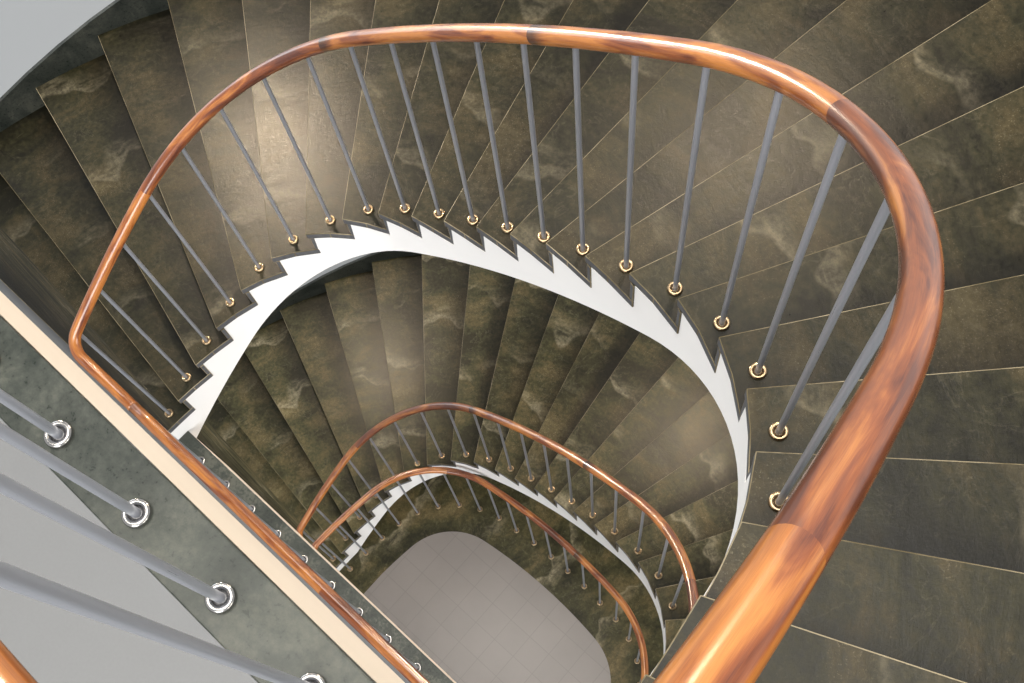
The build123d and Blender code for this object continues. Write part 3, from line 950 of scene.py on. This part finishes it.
def ring_rail_path(level, corner):
    """Closed axis of the ring rail: the well's curve, then two rounded corners at its near side."""
    path = []
    for cut in range(RING_CUTS + 1):
        x, y = well_point(90.0 - 180.0 / RING_CUTS * cut, -RING_INSET)
        path.append(Vector((x, y, level)))
    side = HALF_WELL - RING_INSET
    cuts = range(1, RING_CORNER_CUTS + 1)
    for sign, order in ((1, cuts), (-1, reversed(cuts))):
        for cut in order:
            turn = 90.0 * cut / RING_CORNER_CUTS
            x = sign * (side - corner + corner * cosine(turn))
            path.append(Vector((x, -corner * sine(turn), level)))
    return path


def lathe(form, centre, base, profile, sides):
    """Ring of faces turned round an upright axis; the profile runs up as (radius, height)."""
    rings = []
    for radius, height in profile:
        ring = []
        for side in range(sides):
            turn = 2 * math.pi * side / sides
            x = centre.x + radius * math.cos(turn)
            y = centre.y + radius * math.sin(turn)
            ring.append(form.verts.new((x, y, base + height)))
        rings.append(ring)
    for before, after in zip(rings, rings[1:]):
        for side in range(sides):
            other = (side + 1) % sides
            face = form.faces.new((before[side], before[other], after[other], after[side]))
            face.smooth = True


def rod_piece(node, material, settings):
    """Round rods in place of the CAD ones, let a little into the stone below."""
    form = bmesh.new()
    radius = settings.rod_radius
    for low, high in islands(node):
        height = high.z - low.z
        lathe(form, (low + high) / 2, low.z, [(radius, -ROD_SUNK), (radius, height)], ROD_SIDES)
    return link_piece(node + "_round", form, [material], [node])


def collar_piece(node, material, settings):
    """Turned collars: a rounded ring with a sunk bowl round the rod."""
    form = bmesh.new()
    roll = settings.collar_tube
    for low, high in islands(node):
        height = high.z - low.z
        outer = (high.x - low.x) / 2
        middle = outer - roll
        profile = [(outer - COLLAR_LIP, 0.0), (outer, COLLAR_LIP_HEIGHT)]
        for cut in range(COLLAR_CUTS + 1):
            turn = 180.0 * cut / COLLAR_CUTS
            profile.append((middle + roll * cosine(turn), height - roll + roll * sine(turn)))
        profile.append((middle - roll, COLLAR_BOWL_HEIGHT))
        profile.append((settings.rod_radius * BOWL_UNDER_ROD, COLLAR_BOWL_HEIGHT))
        lathe(form, (low + high) / 2, low.z, profile, COLLAR_SIDES)
    return link_piece(node + "_turned", form, [material], [node])


# Stage


def add_stage_floor(scene):
    """Wide floor, grey below the staircase and paler with distance."""
    mesh = bpy.data.meshes.new("stage_floor")
    form = bmesh.new()
    bmesh.ops.create_grid(form, x_segments=1, y_segments=1, size=FLOOR_REACH)
    form.to_mesh(mesh)
    form.free()
    floor = bpy.data.objects.new("stage_floor", mesh)
    floor.location = (0, 0, FLOOR_LEVEL)
    scene.collection.objects.link(floor)
    pale, tree, shader = new_material("stage_pale")
    reach = vector_node(tree, "LENGTH", [(0, part_space(tree))])["Value"]
    far = span(tree, reach, FLOOR_NEAR_END, FLOOR_FAR_START, 0.0, 1.0)
    tint = mix(tree, far, FLOOR_NEAR, FLOOR_FAR)
    feed(tree, shader, [("Base Color", tint), ("Roughness", 0.9), ("Specular IOR Level", 0.1)])
    mesh.materials.append(pale)


def add_sky(scene):
    """Pale room light, brightest at the horizon."""
    world = bpy.data.worlds.new("soft_room")
    world.use_nodes = True
    tree = world.node_tree
    direction = separated(tree, add_node(tree, "ShaderNodeTexCoord").outputs["Generated"])
    strength = span(tree, direction["Z"], 0.0, 1.0, SKY_LOW, SKY_HIGH)
    feed(tree, tree.nodes["Background"], [("Color", rgba(SKY_TONE)), ("Strength", strength)])
    scene.world = world


def add_light(scene, name, place, target, size, power, colour):
    """Square light out of the camera's sight; small ones show in polish only, the back one not."""
    data = bpy.data.lights.new(name, "AREA")
    data.shape = "SQUARE"
    data.size = size
    data.energy = power
    data.color = colour
    lamp = bpy.data.objects.new(name, data)
    lamp.location = place
    towards = Vector(target) - Vector(place)
    lamp.rotation_euler = towards.to_track_quat("-Z", "Y").to_euler()
    lamp.visible_camera = False
    lamp.visible_diffuse = size > LAMP_SIZE
    lamp.visible_glossy = name != "back"
    scene.collection.objects.link(lamp)


def add_camera(scene):
    """Camera whose straight-down direction meets the image at the measured nadir point."""
    down = Vector((NADIR_RIGHT, -NADIR_BELOW, -FOCAL_PIXELS)).normalized()
    first = (Vector((1, 0, 0)) - down * down.x).normalized()
    second = down.cross(first)
    row_x = first * cosine(CAMERA_HEADING) + second * sine(CAMERA_HEADING)
    row_y = first * sine(CAMERA_HEADING) - second * cosine(CAMERA_HEADING)
    row_z = -down
    turn = Matrix((row_x, row_y, row_z))
    data = bpy.data.cameras.new("photo_camera")
    data.sensor_width = SENSOR
    data.lens = FOCAL_PIXELS / IMAGE_WIDTH * SENSOR
    data.clip_start = 0.05
    data.clip_end = 200.0
    camera = bpy.data.objects.new("photo_camera", data)
    place = Vector((CAMERA_X, CAMERA_Y, GROUND + CAMERA_ABOVE_GROUND))
    camera.matrix_world = Matrix.Translation(place) @ turn.to_4x4()
    scene.collection.objects.link(camera)
    scene.camera = camera


class StaircaseSettings(bpy.types.PropertyGroup):
    rail_radius: FloatProperty(
        name="Rail radius", description="Radius of the wooden handrail", default=0.025, unit="LENGTH"
    )
    rail_sides: IntProperty(name="Rail sides", description="Faces round the handrail", default=28)
    rod_radius: FloatProperty(
        name="Rod radius", description="Radius of the upright rods", default=0.008, unit="LENGTH"
    )
    collar_tube: FloatProperty(
        name="Collar roll", description="Radius of the rolled collar edge", default=0.0055, unit="LENGTH"
    )
    arris: FloatProperty(
        name="Arris", description="Width of the worn stone edge", default=0.0025, unit="LENGTH"
    )
    tile: FloatProperty(
        name="Tile", description="Side of one floor tile", default=0.2, unit="LENGTH"
    )
    wood_length: FloatProperty(
        name="Wood length", description="Length of one piece of rail", default=1.15, unit="LENGTH"
    )
    # Painted shade: tone of each tread's back against the next riser
    painted_back_shade: FloatProperty(
        name="Painted back shade", description="Tone of the treads against the next riser", default=0.22
    )
    # Partly painted light: both flights share one stone; the lower one is paler in its own patches and
    # is also painted lighter, standing in for the lamps at its level
    lower_tone_and_painted_light: FloatProperty(
        name="Lower lift", description="Lightness of the lower flight's stone", default=1.08
    )
    upper_tone_and_painted_light: FloatProperty(
        name="Upper lift", description="Lightness of the upper flight's stone", default=0.35
    )
    paving_lift: FloatProperty(
        name="Paving lift", description="Lightness of the paving and the border", default=0.95
    )
    stone_dark: FloatVectorProperty(
        name="Stone dark", description="Darkest tone of the treads", subtype="COLOR",
        default=(0.024, 0.022, 0.011),
    )
    stone_green: FloatVectorProperty(
        name="Stone green", description="Green tone of the treads", subtype="COLOR",
        default=(0.051, 0.047, 0.021),
    )
    stone_brown: FloatVectorProperty(
        name="Stone brown", description="Brown tone of the treads", subtype="COLOR",
        default=(0.096, 0.074, 0.032),
    )
    stone_light: FloatVectorProperty(
        name="Stone light", description="Light tone of the treads", subtype="COLOR",
        default=(0.166, 0.132, 0.062),
    )
    stone_vein: FloatVectorProperty(
        name="Stone vein", description="Pale veins of the treads", subtype="COLOR",
        default=(0.400, 0.340, 0.225),
    )
    # Painted highlight: tone of the lit stone edges
    arris_highlight_colour: FloatVectorProperty(
        name="Arris colour", description="Tone of the worn stone edges", subtype="COLOR",
        default=(0.30, 0.25, 0.16),
    )
    sawn_colour: FloatVectorProperty(
        name="Sawn colour", description="Tone of the sawn stone edges", subtype="COLOR",
        default=(0.070, 0.073, 0.080),
    )
    mottled_dark: FloatVectorProperty(
        name="Mottled dark", description="Dark tone of the edge strips", subtype="COLOR",
        default=(0.022, 0.027, 0.023),
    )
    mottled_grey: FloatVectorProperty(
        name="Mottled grey", description="Grey tone of the edge strips", subtype="COLOR",
        default=(0.047, 0.052, 0.044),
    )
    mottled_pale: FloatVectorProperty(
        name="Mottled pale", description="Pale tone of the edge strips", subtype="COLOR",
        default=(0.090, 0.092, 0.074),
    )
    tile_colour: FloatVectorProperty(
        name="Tile colour", description="Tone of the ground floor tiles", subtype="COLOR",
        default=(0.200, 0.178, 0.163),
    )
    floor_colour: FloatVectorProperty(
        name="Floor colour", description="Tone of the landings' poured floor", subtype="COLOR",
        default=(0.150, 0.154, 0.158),
    )
    concrete_colour: FloatVectorProperty(
        name="Concrete colour", description="Tone of the ground slab", subtype="COLOR",
        default=(0.45, 0.44, 0.42),
    )
    white_colour: FloatVectorProperty(
        name="White render", description="Tone of the flights and landings", subtype="COLOR",
        default=(0.81, 0.805, 0.80),
    )
    # Painted warm light: the white render of the landings' edge beams, tinted cream
    fascia_warm_light_colour: FloatVectorProperty(
        name="Fascia warm light", description="Tone of the landings' edge beams", subtype="COLOR",
        default=(0.86, 0.72, 0.57),
    )
    wood_dark: FloatVectorProperty(
        name="Wood dark", description="Dark streaks of the rail", subtype="COLOR",
        default=(0.095, 0.020, 0.005),
    )
    wood_red: FloatVectorProperty(
        name="Wood red", description="Main tone of the rail", subtype="COLOR",
        default=(0.225, 0.058, 0.011),
    )
    wood_gold: FloatVectorProperty(
        name="Wood gold", description="Light streaks of the rail", subtype="COLOR",
        default=(0.470, 0.170, 0.032),
    )
    rod_colour: FloatVectorProperty(
        name="Rod colour", description="Tone of the steel rods", subtype="COLOR",
        default=(0.34, 0.355, 0.395),
    )
    brass_colour: FloatVectorProperty(
        name="Brass colour", description="Tone of the collars on treads and paving", subtype="COLOR",
        default=(0.42, 0.31, 0.19),
    )
    steel_colour: FloatVectorProperty(
        name="Steel colour", description="Tone of the collars on the landings", subtype="COLOR",
        default=(0.38, 0.37, 0.36),
    )


class StairStone(bpy.types.Operator):
    """Treads, risers, skirtings, edge strips, border and paving in stone"""

    bl_idname = "staircase.stone"
    bl_label = "Stone"

    def execute(self, context):
        settings = context.scene.staircase
        # One stone at two lightnesses, partly painted light on the lower flight
        slabs = {
            "lower": stair_stone("lower_slab_stone", settings, True, settings.lower_tone_and_painted_light),
            "upper": stair_stone("upper_slab_stone", settings, True, settings.upper_tone_and_painted_light),
        }
        paving = stair_stone("paving_stone", settings, False, settings.paving_lift)
        # Painted highlight: the arrises of treads and risers are painted pale
        worn = arris_highlight(settings.stone_brown, settings.arris_highlight_colour)
        sawn = plain_stone("sawn_edge", settings.sawn_colour, 0.6, 40.0, 0.25)
        tones = (settings.mottled_dark, settings.mottled_grey, settings.mottled_pale)
        dark = mottled_stone("mottled_stone", *tones, 0.0)
        crumbed = mottled_stone("crumbed_stone", *tones, 1.0)
        # Painted shade: the skirtings take the edge strips' tones darkened
        shaded_tones = [tuple(SKIRTING_PAINTED_SHADE * part for part in tone) for tone in tones]
        wall = mottled_stone("skirting_stone_shaded", *shaded_tones, 0.0)
        for flight in ("lower", "upper"):
            finish = (slabs[flight], worn, sawn)
            for kind in ("_treads", "_risers"):
                stone_piece(flight + kind, finish, settings.arris, True)
            dress(flight + "_skirting", wall)
        for node, stone in (("middle_edge_strip", crumbed), ("top_edge_strip", dark)):
            stone_piece(node, [stone] * 3, settings.arris)
        border_piece(paving, tiled_floor("border_tiles", settings.tile_colour, settings.tile))
        dress("ground_paving", paving)
        return {"FINISHED"}


class StairRender(bpy.types.Operator):
    """Flights and landings in white render, with painted warm light tinting the fascias cream; floors in
    tiles, screed and concrete
    """

    bl_idname = "staircase.render_coat"
    bl_label = "Render and Floors"

    def execute(self, context):
        settings = context.scene.staircase
        white = render_coat("white_render", settings.white_colour)
        # The fascias' cream tint is painted warm light on white render
        painted_warm_render = render_coat("cream_render", settings.fascia_warm_light_colour)
        light = smooth_floor("light_floor", settings.floor_colour)
        flight_piece(GROUND, "lower_flight", white)
        flight_piece(MIDDLE, "upper_flight", white)
        for landing in ("middle", "top"):
            dress(landing + "_landing", white)
            dress(landing + "_fascia", painted_warm_render)
            dress(landing + "_floor", light)
        dress("well_floor", tiled_floor("tiled_floor", settings.tile_colour, settings.tile))
        dress("ground_slab", plain_stone("ground_concrete", settings.concrete_colour, 0.7, 6.0, 0.15))
        return {"FINISHED"}


class StairRails(bpy.types.Operator):
    """Smooth wooden handrails along the flights, the landings and the ring"""

    bl_idname = "staircase.rails"
    bl_label = "Handrails"

    def execute(self, context):
        settings = context.scene.staircase
        wood = rail_wood(settings)
        boxes = {name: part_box(name + "_handrail") for name in ("middle", "top", "ring")}
        levels = {name: high.z - settings.rail_radius for name, (low, high) in boxes.items()}
        middle_y, top_y = ((boxes[name][0].y + boxes[name][1].y) / 2 for name in ("middle", "top"))
        foot = levels["middle"] - MIDDLE
        lower = flight_rail_path(GROUND, foot, middle_y, middle_y, GROUND_WREATH_RUN)
        upper = flight_rail_path(MIDDLE, foot, middle_y, top_y, FOOT_WREATH_RUN)
        rail_piece("lower_handrail", lower, wood, settings)
        rail_piece("upper_handrail", upper, wood, settings)
        for name, line_y in (("middle", middle_y), ("top", top_y)):
            low, high = boxes[name]
            ends = [Vector((x, line_y, levels[name])) for x in (low.x, high.x)]
            rail_piece(name + "_handrail", smooth_path(ends, LANDING_RAIL_STEP), wood, settings)
        ring = ring_rail_path(levels["ring"], -middle_y)
        rail_piece("ring_handrail", ring, wood, settings, True)
        return {"FINISHED"}


class StairMetal(bpy.types.Operator):
    """Steel rods and turned collars"""

    bl_idname = "staircase.metal"
    bl_label = "Rods and Collars"

    def execute(self, context):
        settings = context.scene.staircase
        rods = metal("rod_steel", settings.rod_colour, 0.3, 0.02, 0.5)
        brass = metal("collar_brass", settings.brass_colour, 0.28, 1.0)
        steel = metal("collar_steel", settings.steel_colour, 0.22, 1.0)
        for place in ("lower", "upper", "middle", "top", "ring"):
            rod_piece(place + "_balusters", rods, settings)
            if place in ("middle", "top"):
                collar_piece(place + "_collars", steel, settings)
            else:
                collar_piece(place + "_collars", brass, settings)
        return {"FINISHED"}


class StairStage(bpy.types.Operator):
    """Pale floor, soft light and the camera at the photograph's place"""

    bl_idname = "staircase.stage"
    bl_label = "Stage"

    def execute(self, context):
        scene = context.scene
        add_stage_floor(scene)
        add_sky(scene)
        for light in LIGHTS:
            add_light(scene, *light)
        for name, place, power in LAMPS:
            target = (0.0, LAMP_TARGET_Y, place[2] - LAMP_TARGET_DROP)
            add_light(scene, name, place, target, LAMP_SIZE, power, WARM)
        add_camera(scene)
        scene.view_settings.view_transform = "Standard"
        return {"FINISHED"}


class StaircasePanel(bpy.types.Panel):
    bl_label = "Winding Staircase"
    bl_idname = "VIEW3D_PT_staircase"
    bl_space_type = "VIEW_3D"
    bl_region_type = "UI"
    bl_category = "Staircase"

    def draw(self, context):
        settings = context.scene.staircase
        for name in StaircaseSettings.__annotations__:
            self.layout.prop(settings, name)
        for operator in OPERATORS:
            self.layout.operator(operator.bl_idname)


OPERATORS = (StairStone, StairRender, StairRails, StairMetal, StairStage)
CLASSES = (StaircaseSettings, *OPERATORS, StaircasePanel)


def register():
    for item in CLASSES:
        bpy.utils.register_class(item)
    bpy.types.Scene.staircase = PointerProperty(type=StaircaseSettings)


def unregister():
    del bpy.types.Scene.staircase
    for item in reversed(CLASSES):
        bpy.utils.unregister_class(item)


def main():
    register()
    bpy.ops.staircase.stone()
    bpy.ops.staircase.render_coat()
    bpy.ops.staircase.rails()
    bpy.ops.staircase.metal()
    bpy.ops.staircase.stage()


if __name__ == "__main__":
    main()
